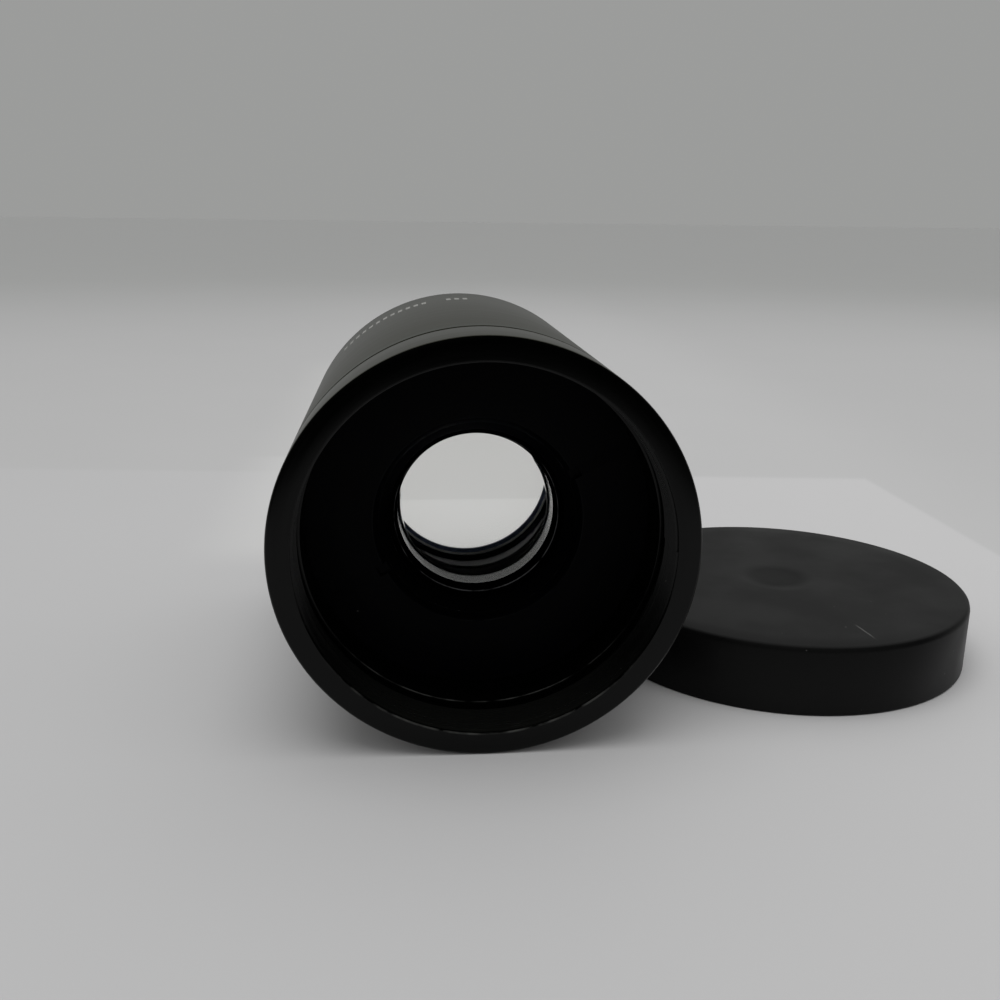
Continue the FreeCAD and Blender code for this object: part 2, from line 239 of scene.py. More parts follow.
def cut_away(piece: bpy.types.Object, cutters: list[bpy.types.Object]) -> None:
    """Subtract blocks from a piece and delete them."""
    for cutter in cutters:
        pick(piece)
        bpy.ops.object.modifier_add(type="BOOLEAN")
        modifier = piece.modifiers[-1]
        modifier.operation = "DIFFERENCE"
        modifier.solver = "EXACT"
        modifier.object = cutter
        bpy.ops.object.modifier_apply(modifier=modifier.name)
        pick(cutter)
        bpy.ops.object.delete()
    smooth(piece)


def cut_slots(
    piece: bpy.types.Object, radii: tuple[float, float], along: tuple[float, float], half: float, angle: float,
) -> None:
    """Cut two opposite slots into a piece that is turned about the optical axis. Sizes in millimetres.

    Args:
        piece: The piece that is cut.
        radii: Where the slots begin and end across the axis.
        along: Where they begin and end along it.
        half: Half their width.
        angle: Degrees of the first one from +X towards +Z.
    """
    low, high = Vector((radii[0], along[0], -half)), Vector((radii[1], along[1], half))
    cutters = []
    for degrees in (angle, angle + 180):
        turn = Matrix.Rotation(math.radians(-degrees), 4, "Y")
        middle = turn @ ((low + high) / 2 * MM)
        deselect_all()
        bpy.ops.mesh.primitive_cube_add(size=1, location=middle, rotation=turn.to_euler(), scale=(high - low) * MM)
        cutters.append(bpy.context.object)
    cut_away(piece, cutters)


@dataclass
class ThreadRidge:
    """A right-handed sixty-degree screw ridge that stands inward from a wall. Sizes in millimetres."""

    name: str
    first: float
    turns: int
    root: float = THREAD_ROOT
    crest: float = THREAD_CREST
    pitch: float = 0.75
    crest_flat: float = 0.12
    foot_flat: float = 0.10
    sunk: float = 0.04
    steps: int = 192

    def build(self) -> bpy.types.Object:
        """Draw the ridge's section, sweep it along its helix and close both ends.

        Returns:
            The ridge, at the origin.
        """
        foot = self.pitch - self.foot_flat
        crest_start = (foot - self.crest_flat) / 2
        Turning(self.name).path(
            (self.root + self.sunk, self.first), (self.root, self.first), (self.crest, self.first + crest_start),
            (self.crest, self.first + crest_start + self.crest_flat), (self.root, self.first + foot),
            (self.root + self.sunk, self.first + foot), (self.root + self.sunk, self.first),
        )
        on_all(bpy.ops.mesh.remove_doubles, threshold=WELD)
        bpy.ops.object.mode_set(mode="OBJECT")
        ridge = bpy.context.object
        pick(ridge)
        bpy.ops.object.modifier_add(type="SCREW")
        modifier = ridge.modifiers[-1]
        modifier.axis = "Y"
        modifier.screw_offset = self.pitch * MM
        modifier.iterations = self.turns
        modifier.steps = self.steps
        modifier.render_steps = self.steps
        bpy.ops.object.modifier_apply(modifier=modifier.name)
        bpy.ops.object.mode_set(mode="EDIT")
        on_all(bpy.ops.mesh.fill_holes, sides=0)
        on_all(bpy.ops.mesh.normals_make_consistent, inside=False)
        bpy.ops.object.mode_set(mode="OBJECT")
        smooth(ridge)
        return ridge


# Shader helpers


class Bench:
    """Places shader nodes in one tree and wires them."""

    def __init__(self, tree: bpy.types.NodeTree) -> None:
        """Work on one node tree."""
        self.tree = tree

    def feed(self, node: bpy.types.Node, values: dict[str | int, object]) -> None:
        """Link a node's inputs to sockets or set them to plain values, with a colour as three numbers."""
        for name, value in values.items():
            socket = node.inputs[name]
            if isinstance(value, bpy.types.NodeSocket):
                self.tree.links.new(value, socket)
            elif socket.type == "RGBA":
                socket.default_value = (*value, 1.0)
            else:
                socket.default_value = value

    def add(self, kind: str, inputs: dict[str | int, object] | None = None, **settings: object) -> bpy.types.Node:
        """Add a node.

        Args:
            kind: Its type name without the leading ShaderNode.
            inputs: What to feed to its inputs, by name or number.
            settings: Properties to set on it.

        Returns:
            The node.
        """
        node = self.tree.nodes.new("ShaderNode" + kind)
        for name, value in settings.items():
            setattr(node, name, value)
        self.feed(node, inputs or {})
        return node

    def math(self, operation: str, *values: object) -> Socket:
        """Result of a Math node on up to three sockets or numbers."""
        return self.add("Math", dict(enumerate(values)), operation=operation).outputs[0]

    def times(self, product: object, *others: object) -> Socket:
        """Product of sockets or numbers."""
        for other in others:
            product = self.math("MULTIPLY", product, other)
        return product

    def minus(self, one: object, other: object) -> Socket:
        """Difference of two sockets or numbers."""
        return self.math("SUBTRACT", one, other)

    def length(self, one: Socket, other: Socket) -> Socket:
        """Length of a vector with two parts."""
        return self.math("SQRT", self.math("ADD", self.times(one, one), self.times(other, other)))

    def split(self, vector: Socket) -> tuple[Socket, Socket, Socket]:
        """X, Y and Z of a vector."""
        return tuple(self.add("SeparateXYZ", {0: vector}).outputs)

    def fade(self, value: object, low: object, high: object, to_low: float = 0.0, to_high: float = 1.0) -> Socket:
        """Smooth step from to_low at low to to_high at high."""
        inputs = {"Value": value, "From Min": low, "From Max": high, "To Min": to_low, "To Max": to_high}
        return self.add("MapRange", inputs, interpolation_type="SMOOTHSTEP").outputs[0]

    def band(self, value: Socket, start: float, full: float, falling: float, end: float) -> Socket:
        """Smooth mask that is 0 up to start, 1 from full to falling, and 0 again from end on."""
        return self.times(self.fade(value, start, full), self.fade(value, falling, end, 1.0, 0.0))

    def noise(self, vector: Socket, scale: object, detail: float = 2.0) -> Socket:
        """Noise from 0 to 1."""
        return self.add("TexNoise", {"Vector": vector, "Scale": scale, "Detail": detail}).outputs[0]

    def blend(self, share: object, one: object, other: object) -> Socket:
        """Mix two colours by a share."""
        return self.add("Mix", {0: share, 6: one, 7: other}, data_type="RGBA").outputs[2]

    def group(self, tree: bpy.types.NodeTree, **values: object) -> bpy.types.NodeOutputs:
        """Place a node group, feed its inputs, named with underscores for spaces, and give its outputs."""
        node = self.add("Group", node_tree=tree)
        self.feed(node, {name.replace("_", " "): value for name, value in values.items()})
        return node.outputs


class Effect:
    """A shader node group that several finishes share."""

    def __init__(self, name: str, inputs: dict[str, object], outputs: tuple[str, ...]) -> None:
        """Open a new group.

        Args:
            name: Name of the group.
            inputs: Input names with a default number, or None for a vector.
            outputs: Names of the values that it puts out.
        """
        self.tree = bpy.data.node_groups.new(name, "ShaderNodeTree")
        for label, default in inputs.items():
            kind = "NodeSocketVector" if default is None else "NodeSocketFloat"
            socket = self.tree.interface.new_socket(label, in_out="INPUT", socket_type=kind)
            if default is not None:
                socket.default_value = default
        for label in outputs:
            self.tree.interface.new_socket(label, in_out="OUTPUT", socket_type="NodeSocketFloat")
        self.bench = Bench(self.tree)
        self.entry = self.tree.nodes.new("NodeGroupInput").outputs
        self.exit = self.tree.nodes.new("NodeGroupOutput")


@cache
def lathe_marks() -> bpy.types.NodeTree:
    """Fine marks that a turning tool leaves round the optical axis.

    Returns:
        Group with a Height for bump and a slower Streak for tone, both from 0 to 1.
    """
    effect = Effect("lathe marks", {"Coordinates": None, "Density": 2500.0, "Sweep": 0.8}, ("Height", "Streak"))
    bench, entry = effect.bench, effect.entry
    x, y, z = bench.split(entry["Coordinates"])
    radius = bench.length(x, z)
    safe = bench.math("MAXIMUM", radius, 1e-5)
    for label, coarseness in (("Height", 1.0), ("Streak", 0.22)):
        density = bench.times(entry["Density"], coarseness)
        across, up = (bench.times(bench.math("DIVIDE", part, safe), entry["Sweep"]) for part in (x, z))
        vector = bench.add("CombineXYZ", {0: across, 1: bench.times(y, density), 2: up}).outputs[0]
        inputs = {"Vector": vector, "W": bench.times(radius, density), "Scale": 1.0, "Detail": 2.0}
        noise = bench.add("TexNoise", inputs, noise_dimensions="4D").outputs[0]
        bench.feed(effect.exit, {label: noise})
    return effect.tree


@cache
def grain() -> bpy.types.NodeTree:
    """Even fine grain of a bead-blasted or moulded face.

    Returns:
        Group with a Height for bump and a slow Patch for tone, both from 0 to 1.
    """
    effect = Effect("grain", {"Coordinates": None, "Density": 4000.0}, ("Height", "Patch"))
    bench, entry = effect.bench, effect.entry
    for label, coarseness, detail in (("Height", 1.0, 2.0), ("Patch", 0.012, 4.0)):
        scale = bench.times(entry["Density"], coarseness)
        bench.feed(effect.exit, {label: bench.noise(entry["Coordinates"], scale, detail)})
    return effect.tree


@cache
def dust() -> bpy.types.NodeTree:
    """Scattered specks of dust.

    Returns:
        Group with a Mask that is 1 on a speck.
    """
    effect = Effect("dust", {"Coordinates": None, "Specks per metre": 400.0, "Size": 0.12, "Share": 0.25}, ("Mask",))
    bench, entry = effect.bench, effect.entry
    inputs = {"Vector": entry["Coordinates"], "Scale": entry["Specks per metre"]}
    cells = bench.add("TexVoronoi", inputs, feature="F1").outputs
    chance = bench.add("SeparateColor", {0: cells["Color"]}).outputs
    size = bench.times(entry["Size"], chance[1])
    speck = bench.fade(cells["Distance"], bench.times(size, 0.5), size, 1.0, 0.0)
    kept = bench.math("LESS_THAN", chance[0], entry["Share"])
    bench.feed(effect.exit, {"Mask": bench.times(speck, kept)})
    return effect.tree


@cache
def edge_wear_and_highlight() -> bpy.types.NodeTree:
    """Lighter line along a turned edge: rubbed wear on some finishes, a painted highlight on others.

    Returns:
        Group with a Mask that is 1 at the given radius and place along the axis and breaks up unevenly.
    """
    effect = Effect("edge wear and highlight", {"Coordinates": None, "Radius": 0.04, "Along": 0.0, "Width": 0.0004}, ("Mask",))
    bench, entry = effect.bench, effect.entry
    x, y, z = bench.split(entry["Coordinates"])
    across = bench.minus(bench.length(x, z), entry["Radius"])
    distance = bench.length(across, bench.minus(y, entry["Along"]))
    near = bench.fade(distance, 0.0, entry["Width"], 1.0, 0.0)
    uneven = bench.fade(bench.noise(entry["Coordinates"], 260.0, 5.0), 0.35, 0.65)
    bench.feed(effect.exit, {"Mask": bench.times(near, uneven)})
    return effect.tree


def open_material(name: str) -> tuple[bpy.types.Material, Bench, bpy.types.Node, Socket]:
    """Start a node material.

    Args:
        name: Name of the material.

    Returns:
        The material, its bench, its Principled shader and the object coordinates.
    """
    material = bpy.data.materials.new(name)
    material.use_nodes = True
    bench = Bench(material.node_tree)
    shader = material.node_tree.nodes["Principled BSDF"]
    return material, bench, shader, bench.add("TexCoord").outputs["Object"]


def bump(bench: Bench, height: Socket, depth: float, strength: float) -> Socket:
    """Normal of a surface raised by a height.

    Args:
        bench: Bench of the material.
        height: Height from 0 to 1.
        depth: What a height of 1 stands for, in millimetres.
        strength: Share of the bump that is used.

    Returns:
        The normal.
    """
    return bench.add("Bump", {"Strength": strength, "Distance": depth * MM, "Height": height}).outputs[0]


# Finishes


@dataclass(frozen=True)
class TickRow:
    """Short white printed strokes in a row round the barrel. Sizes in millimetres and degrees."""

    along: float = 80.0
    height: float = 4.4
    first_angle: float = 88.6
    last_angle: float = 137.0
    pitch_angle: float = 2.9
    share: float = 0.55
    gap_first: float = 97.3
    gap_last: float = 103.1
    least_radius: float = 39.5
    colour: Colour = (0.27, 0.27, 0.25)

    def mask(self, bench: Bench, coordinates: Socket) -> Socket:
        """Mask that is 1 on a stroke.

        Args:
            bench: Bench of the barrel's material.
            coordinates: Object coordinates.

        Returns:
            The mask.
        """
        x, y, z = bench.split(coordinates)
        angle = bench.times(bench.math("ARCTAN2", z, x), math.degrees(1.0))
        turn = bench.math("DIVIDE", bench.minus(angle, self.first_angle), self.pitch_angle)
        past, short = bench.math("GREATER_THAN", angle, self.gap_first), bench.math("LESS_THAN", angle, self.gap_last)
        return bench.times(
            bench.math("LESS_THAN", bench.math("FRACT", turn), self.share),
            bench.math("GREATER_THAN", angle, self.first_angle),
            bench.math("LESS_THAN", angle, self.last_angle),
            bench.math("COMPARE", y, self.along * MM, self.height / 2 * MM),
            bench.math("GREATER_THAN", bench.length(x, z), self.least_radius * MM),
            bench.minus(1.0, bench.times(past, short)),
        )


@dataclass(frozen=True)
class Anodised:
    """Black anodised aluminium, turned and lightly handled, with painted highlights and a painted sheen on some parts.
    """

    name: str
    colour: Colour
    streak_colour: Colour
    roughness: float = 0.42
    specular: float = 0.5
    mark_density: float = 2500.0
    mark_depth: float = 0.004
    mark_strength: float = 0.35
    rough_spread: float = 0.05
    # Lines along edges: rubbed wear on some finishes, painted highlights on others.
    wear_and_highlight_edges: tuple[tuple[float, float, float], ...] = ()
    wear_and_highlight_colour: Colour = (0.12, 0.12, 0.12)
    # Painted light: below this height lies the lit underside, where the edge highlights show and the low colour paints
    # the part lighter.
    lit_below: float | None = None
    lit_fade: float = 8.0
    lit_low_colour: Colour | None = None
    dust_share: float = 0.12
    dust_strength: float = 0.35
    dust_colour: Colour = (0.45, 0.44, 0.42)
    # Painted sheen: a lighter strip along the axis.
    sheen_strip: tuple[float, float, float] | None = None
    sheen_strip_colour: Colour = (0.030, 0.034, 0.026)
    ticks: TickRow | None = None

    def material(self) -> bpy.types.Material:
        """Build the material.

        Returns:
            Material with marks round the axis, edge lines that are rubbed wear on some finishes and painted highlights
            on others, a painted lighter underside, dust, a painted sheen strip and printed strokes.
        """
        material, bench, shader, coordinates = open_material(self.name)
        x, y, z = bench.split(coordinates)
        marks = bench.group(lathe_marks(), Coordinates=coordinates, Density=self.mark_density)
        patch = bench.group(grain(), Coordinates=coordinates)["Patch"]
        tone = bench.fade(bench.times(marks["Streak"], patch), 0.12, 0.4)
        colour = bench.blend(tone, self.colour, self.streak_colour)
        # Painted light: mask that is 1 on the lit underside, below the given height.
        low = 1.0
        if self.lit_below is not None:
            start, end = (self.lit_below - self.lit_fade) * MM, (self.lit_below + self.lit_fade) * MM
            low = bench.fade(z, start, end, 1.0, 0.0)
        if self.lit_low_colour:
            colour = bench.blend(low, colour, self.lit_low_colour)
        # Lines along edges: rubbed wear on the barrel, painted highlights on the mouth and the retainer, faint lighter
        # lines in the cell.
        for radius, along, width in self.wear_and_highlight_edges:
            place = {"Radius": radius * MM, "Along": along * MM, "Width": width * MM}
            edge_line = bench.group(edge_wear_and_highlight(), Coordinates=coordinates, **place)["Mask"]
            colour = bench.blend(bench.times(edge_line, low), colour, self.wear_and_highlight_colour)
        specks = bench.group(dust(), Coordinates=coordinates, Share=self.dust_share)["Mask"]
        colour = bench.blend(bench.times(specks, self.dust_strength), colour, self.dust_colour)
        # Painted sheen: a lighter strip behind the barrel's groove, where its rounded edge reflects the bright room.
        if self.sheen_strip:
            first, full, last = self.sheen_strip
            sheen_band = bench.band(y, first * MM, full * MM, full * MM, last * MM)
            colour = bench.blend(sheen_band, colour, self.sheen_strip_colour)
        if self.ticks:
            colour = bench.blend(self.ticks.mask(bench, coordinates), colour, self.ticks.colour)
        least, most = self.roughness - self.rough_spread, self.roughness + self.rough_spread
        bench.feed(shader, {
            "Base Color": colour,
            "Roughness": bench.fade(marks["Streak"], 0.3, 0.7, least, most),
            "Specular IOR Level": self.specular,
            "Normal": bump(bench, marks["Height"], self.mark_depth, self.mark_strength),
        })
        return material


@dataclass(frozen=True)
class Moulded:
    """Matte black plastic with fine grain, dust and light scratches."""

    name: str
    colour: Colour
    patch_colour: Colour
    roughness: float = 0.55
    specular: float = 0.4
    grain_depth: float = 0.012
    grain_strength: float = 0.5
    dust_share: float = 0.2
    dust_strength: float = 0.3
    dust_colour: Colour = (0.4, 0.39, 0.37)
    scratches: tuple[tuple[float, float, float, float], ...] = ()
    scratch_strength: float = 0.25
    scratch_colour: Colour = (0.25, 0.25, 0.24)
    level: float = 0.0
    # Painted sheen: a lighter colour on the top face.
    top_sheen: Colour | None = None

    def scratch(self, bench: Bench, coordinates: Socket, ends: tuple[float, float, float, float]) -> Socket:
        """Mask of a thin straight scratch on a level face.

        Args:
            bench: Bench of the material.
            coordinates: Object coordinates.
            ends: X and Y of its two ends, in millimetres.

        Returns:
            Mask that is 1 on the scratch and thins out at its ends.
        """
        first, last = Vector(ends[:2]) * MM, Vector(ends[2:]) * MM
        reach = (last - first).length
        turned = bench.add("Mapping", {
            "Location": (first.x, first.y, self.level * MM),
            "Rotation": (0.0, 0.0, math.atan2(last.y - first.y, last.x - first.x)),
            "Vector": coordinates,
        }, vector_type="TEXTURE").outputs[0]
        x, y, z = bench.split(turned)
        wobble = bench.times(bench.minus(bench.noise(turned, 180.0), 0.5), 0.8 * MM)
        line = bench.fade(bench.math("ABSOLUTE", bench.math("ADD", y, wobble)), 0.05 * MM, 0.28 * MM, 1.0, 0.0)
        inside = bench.band(x, 0.0, 0.25 * reach, 0.6 * reach, reach)
        flat = bench.math("LESS_THAN", bench.math("ABSOLUTE", z), 0.3 * MM)
        return bench.times(line, inside, flat)

    def material(self) -> bpy.types.Material:
        """Build the material.

        Returns:
            Material with grain, patches of wear, a painted sheen on the top face, specks of dust, and scratches.
        """
        material, bench, shader, coordinates = open_material(self.name)
        fine = bench.group(grain(), Coordinates=coordinates)
        colour = bench.blend(bench.fade(fine["Patch"], 0.35, 0.65), self.colour, self.patch_colour)
        # Painted sheen: the top face, at the given level, is made lighter.
        if self.top_sheen:
            height = bench.split(coordinates)[2]
            top_face = bench.fade(height, (self.level - 0.35) * MM, (self.level - 0.02) * MM)
            colour = bench.blend(top_face, colour, self.top_sheen)
        specks = bench.group(dust(), Coordinates=coordinates, Share=self.dust_share)["Mask"]
        colour = bench.blend(bench.times(specks, self.dust_strength), colour, self.dust_colour)
        for ends in self.scratches:
            mask = bench.times(self.scratch(bench, coordinates, ends), self.scratch_strength)
            colour = bench.blend(mask, colour, self.scratch_colour)
        bench.feed(shader, {
            "Base Color": colour,
            "Roughness": bench.fade(fine["Patch"], 0.3, 0.7, self.roughness - 0.05, self.roughness + 0.06),
            "Specular IOR Level": self.specular,
            "Normal": bump(bench, fine["Height"], self.grain_depth, self.grain_strength),
        })
        return material


@dataclass(frozen=True)
class Polished:
    """Coated optical glass."""

    name: str
    ior: float
    colour: Colour = (0.999, 1.0, 0.999)
    tint: Colour = (0.02, 0.03, 0.05)
    specular: float = 0.3
    speck_roughness: float = 0.08

    def material(self) -> bpy.types.Material:
        """Build the material.

        Returns:
            Clear glass whose reflections are dim and bluish, with a trace of dust in its roughness.
        """
        material, bench, shader, coordinates = open_material(self.name)
        specks = bench.group(dust(), Coordinates=coordinates, Specks_per_metre=260.0, Size=0.1, Share=0.05)["Mask"]
        bench.feed(shader, {
            "Base Color": self.colour,
            "Roughness": bench.times(specks, self.speck_roughness),
            "IOR": self.ior,
            "Transmission Weight": 1.0,
            "Specular IOR Level": self.specular,
            "Specular Tint": self.tint,
        })
        return material


# What the finishes inside the barrel share: coarse tool marks and little dust
SHELTERED = {"mark_density": 2200.0, "dust_share": 0.02, "dust_strength": 0.05}

# Its rubbed front edge is wear; the lighter strip behind the groove is a painted sheen of the rounded edge there.
BARREL_BLACK = Anodised(
    "barrel_black", (0.0175, 0.0180, 0.0105), (0.0190, 0.0195, 0.0115), roughness=0.35, specular=0.65,
    mark_density=3200.0, mark_strength=0.04, rough_spread=0.012, wear_and_highlight_edges=((40.5, 98.2, 0.5),),
    sheen_strip=(16.6, 17.2, 21.5), ticks=TickRow(),
)
# Painted highlights: lighter lines on the mouth's inner chamfer and at the thread's ends, shown only on the lower
# part.
RING_BLACK = Anodised(
    "ring_black", (0.0002, 0.0003, 0.0002), (0.0006, 0.0007, 0.0006), roughness=0.17, specular=0.165,
    mark_density=2600.0, wear_and_highlight_edges=((36.05, 0.0, 0.4), (35.7, 10.85, 0.25), (35.2, 12.2, 0.3)),
    wear_and_highlight_colour=(0.05, 0.051, 0.048), lit_below=-26.0, dust_share=0.02, dust_strength=0.2,
)
# Painted light: the thread's lower part is lighter, where light through the mouth falls on it.
THREAD_BLACK = Anodised(
    "thread_black", (0.0008, 0.0009, 0.0008), (0.0016, 0.0018, 0.0016), roughness=0.25, specular=0.2,
    mark_density=2600.0, dust_share=0.02, dust_strength=0.1,
    lit_low_colour=(0.0038, 0.004, 0.0034), lit_below=-27.0,
)
# Faint lighter lines along the funnel's front edge and its land.
CELL_BLACK = Anodised(
    "cell_black", (0.0004, 0.0005, 0.0008), (0.0008, 0.0009, 0.0014), roughness=0.45, specular=0.04,
    **SHELTERED, wear_and_highlight_edges=((21.6, 22.4, 0.25), (20.4, 24.2, 0.25)), wear_and_highlight_colour=(0.004, 0.0045, 0.005),
)
# Painted highlight: a bright line on the front inner edge of an otherwise matte ring.
RETAINER_BLACK = Anodised(
    "retainer_black", (0.0002, 0.0002, 0.0003), (0.0004, 0.0004, 0.0006), roughness=0.9, specular=0.0,
    **SHELTERED, mark_strength=0.05, wear_and_highlight_edges=((17.25, 28.7, 0.3),), wear_and_highlight_colour=(0.11, 0.112, 0.115),
)
OBJECTIVE_BLACK = Anodised(
    "objective_black", (0.002, 0.0026, 0.0046), (0.003, 0.0038, 0.0066), roughness=0.42, specular=0.2,
    **SHELTERED,
)
# Painted reflection: the bluish reflection of the coated glass, painted on the retainer's rear face.
OBJECTIVE_SEAT_REFLECTION = Anodised(
    "objective_seat_reflection", (0.30, 0.37, 0.56), (0.36, 0.44, 0.66), roughness=0.6, specular=0.1,
    **SHELTERED,
)
PAINT_BLACK = Moulded("paint_black", (0.10, 0.10, 0.104), (0.13, 0.13, 0.135), roughness=0.42, specular=0.6)
# Painted sheen: its top face is lighter, for the sheen it shows at a grazing view.
CAP_BLACK = Moulded(
    "cap_black", (0.0022, 0.0022, 0.0023), (0.0042, 0.0043, 0.0042), roughness=0.44, specular=0.12,
    dust_strength=0.12, top_sheen=(0.0135, 0.0135, 0.0135), scratches=((82.8, 24.0, 84.2, 14.5),), level=-25.0,
)
FELT_BLACK = Moulded(
    "felt_black", (0.012, 0.012, 0.013), (0.03, 0.03, 0.032), roughness=0.9, specular=0.1, grain_depth=0.15,
)
SCREW_STEEL = Anodised("screw_steel", (0.05, 0.05, 0.052), (0.09, 0.09, 0.092), roughness=0.35, specular=0.6)
SHIM_BRASS = Anodised("shim_brass", (0.45, 0.32, 0.12), (0.6, 0.45, 0.2), roughness=0.35)
GROUND_EDGE = Moulded("ground_edge", (0.028, 0.029, 0.028), (0.038, 0.039, 0.038), roughness=0.22, specular=0.7)
BLACKENED_EDGE = Moulded("blackened_edge", (0.003, 0.0036, 0.006), (0.005, 0.006, 0.0095), roughness=0.7, specular=0.2)
CROWN_GLASS = Polished("crown_glass", 1.517)
FLINT_GLASS = Polished("flint_glass", 1.755)

Finish = Anodised | Moulded | Polished


class Workshop:
    """Dresses finished pieces and reports them."""

    def __init__(self) -> None:
        """Start with no material built."""
        self.materials: dict[str, bpy.types.Material] = {}

    def finish(self, finish: Finish) -> bpy.types.Material:
        """Material of a finish, built when first asked for."""
        if finish.name not in self.materials:
            self.materials[finish.name] = finish.material()
        return self.materials[finish.name]

    def paint(self, piece: bpy.types.Object, *finishes: Finish) -> None:
        """Give a piece one finish for each material index."""
        piece.data.materials.clear()
        for finish in finishes:
            piece.data.materials.append(self.finish(finish))

    def dress(self, piece: bpy.types.Object, node: str, slot: str, *finishes: Finish) -> None:
        """Give a modelled piece its materials and put it in its node's place.

        Args:
            piece: The finished mesh.
            node: Name of the solid that it stands for.
            slot: The record's material slot; not used.
            finishes: One finish for each material index.
        """
        self.paint(piece, *finishes)
        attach(piece, "root")
        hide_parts(node)
        log.info("%s stands for %s with %d faces", piece.name, node, len(piece.data.polygons))

    def dress_node(self, node: str, finish: Finish) -> None:
        """Give a carried-over solid its material."""
        self.paint(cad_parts[node], finish)
        log.info("%s is the solid itself", node)


def ends(node: str) -> tuple[float, float]:
    """Where a node begins and ends along the optical axis, in millimetres."""
    low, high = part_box(node)
    return low.y / MM, high.y / MM


def sag(curve: float, radius: float) -> float:
    """Depth of a sphere at a distance from its axis, in millimetres."""
    return curve - math.sqrt(curve * curve - radius * radius)


def finish_faces(piece: bpy.types.Object, wanted: Callable[[Vector, Vector], bool]) -> None:
    """Give the faces that pass a test the piece's second material.

    Args:
        piece: A dressed piece with two materials.
        wanted: Takes a face's middle in millimetres and its normal, and says whether it is one of them.
    """
    pick(piece)
    bpy.ops.object.mode_set(mode="EDIT")
    bpy.ops.mesh.select_mode(type="FACE")
    bpy.ops.mesh.select_all(action="DESELECT")
    mesh = bmesh.from_edit_mesh(piece.data)
    for face in mesh.faces:
        if wanted(face.calc_center_median() / MM, face.normal):
            face.select_set(True)
    bmesh.update_edit_mesh(piece.data)
    piece.active_material_index = 1
    bpy.ops.object.material_slot_assign()
    bpy.ops.object.mode_set(mode="OBJECT")


def finish_rim(piece: bpy.types.Object, beyond: float, steepest: float = 2.0) -> None:
    """Give the faces round a dressed piece its second material.

    Args:
        piece: A dressed piece with two materials.
        beyond: Radius in millimetres beyond which they lie.
        steepest: Limit to the part of their normals along the axis.
    """
    finish_faces(piece, lambda middle, normal: math.hypot(middle.x, middle.z) > beyond and abs(normal.y) < steepest)


# Sub-assemblies


@dataclass
class MountEnd:
    """The camera-side ring with its screw thread."""

    workshop: Workshop
    outer: float = 40.5
    length: float = 15.2
    spigot: float = 37.45
    depth: float = 22.4
    bore: float = 35.2
    chamfer_radius: float = 36.09
    thread_end: float = 10.85
    relief_end: float = 12.2

    def build(self) -> None:
        """Turn the ring and its thread."""
        ring = Turning("mount_ring_turned").path(
            (self.chamfer_radius, 0, 0.05), (self.outer - EDGE_BREAK, 0, 0.15), (self.outer, EDGE_BREAK, 0.15),
            (self.outer, self.length - JOINT_BEVEL, 0.1), (self.outer - JOINT_BEVEL, self.length),
            (self.spigot, self.length), (self.spigot, self.depth - EDGE_BREAK),
            (self.spigot - EDGE_BREAK, self.depth), (self.bore, self.depth), (self.bore, self.relief_end, 0.12),
            (THREAD_RELIEF, self.relief_end), (THREAD_RELIEF, self.thread_end), (THREAD_ROOT, self.thread_end, 0.08),
            (THREAD_ROOT, self.chamfer_radius - THREAD_ROOT),
        )
        piece = ring.spin(LARGE_FLATS)
        self.workshop.dress(piece, "mount_ring", "ring_anodise", RING_BLACK, BARREL_BLACK)
        finish_rim(piece, self.outer - 0.2)
        ridge = ThreadRidge("mount_thread", first=0.55, turns=12).build()
        ridge.data.materials.append(self.workshop.finish(THREAD_BLACK))
        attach(ridge, "root")


@dataclass
class Barrel:
    """The outer tube and the grub screws in it."""

    workshop: Workshop
    outer: float = 40.5
    start: float = 15.2
    end: float = 98.2
    bore: float = 37.0
    counterbore: float = 37.5
    shoulder: float = 35.8
    groove_slope: float = 0.15
    groove_end: float = 16.6
    rear_shoulder: float = 26.4
    shoulder_length: float = 3.4
    shoulder_slope: float = 1.2
    screw_places: tuple[float, ...] = (18.8, 94.6)
    screw_angles: tuple[float, ...] = (45.0, 165.0, 285.0)
    hole_radius: float = 1.0

    def build(self) -> None:
        """Turn the tube, drill it and dress its grub screws."""
        front_shoulder = ends("objective_cell")[0]
        tube = Turning("main_barrel_turned").path(
            (self.counterbore, self.start), (self.outer - JOINT_BEVEL, self.start),
            (self.outer - JOINT_BEVEL, self.groove_end - self.groove_slope), (self.outer, self.groove_end, 0.05),
            (self.outer, self.end - EDGE_BREAK, 0.15), (self.outer - EDGE_BREAK, self.end, 0.1),
            (self.bore, self.end), (self.bore, front_shoulder), (self.shoulder, front_shoulder),
            (self.shoulder, front_shoulder - self.shoulder_length),
            (self.bore, front_shoulder - self.shoulder_length - self.shoulder_slope),
            (self.bore, self.rear_shoulder + self.shoulder_length + self.shoulder_slope),
            (self.shoulder, self.rear_shoulder + self.shoulder_length), (self.shoulder, self.rear_shoulder),
            (self.counterbore, self.rear_shoulder),
        )
        barrel = tube.spin(LARGE_FLATS)
        cut_away(barrel, [self.add_drill(along, angle) for along in self.screw_places for angle in self.screw_angles])
        self.workshop.dress(barrel, "main_barrel", "barrel_anodise", BARREL_BLACK)
        self.workshop.dress_node("grub_screws", SCREW_STEEL)

    def add_drill(self, along: float, angle: float) -> bpy.types.Object:
        """Add a cylinder that drills one radial hole.

        Args:
            along: Place of the hole along the axis.
            angle: Degrees from +X towards +Z.

        Returns:
            The cylinder.
        """
        deselect_all()
        turn = math.radians(angle)
        way = Vector((math.cos(turn), 0.0, math.sin(turn)))
        middle = (way * (self.outer - 1.5) + Vector((0.0, along, 0.0))) * MM
        bpy.ops.mesh.primitive_cylinder_add(
            vertices=24, radius=self.hole_radius * MM, depth=8 * MM, location=middle,
            rotation=way.to_track_quat("Z", "Y").to_euler(),
        )
        return bpy.context.object


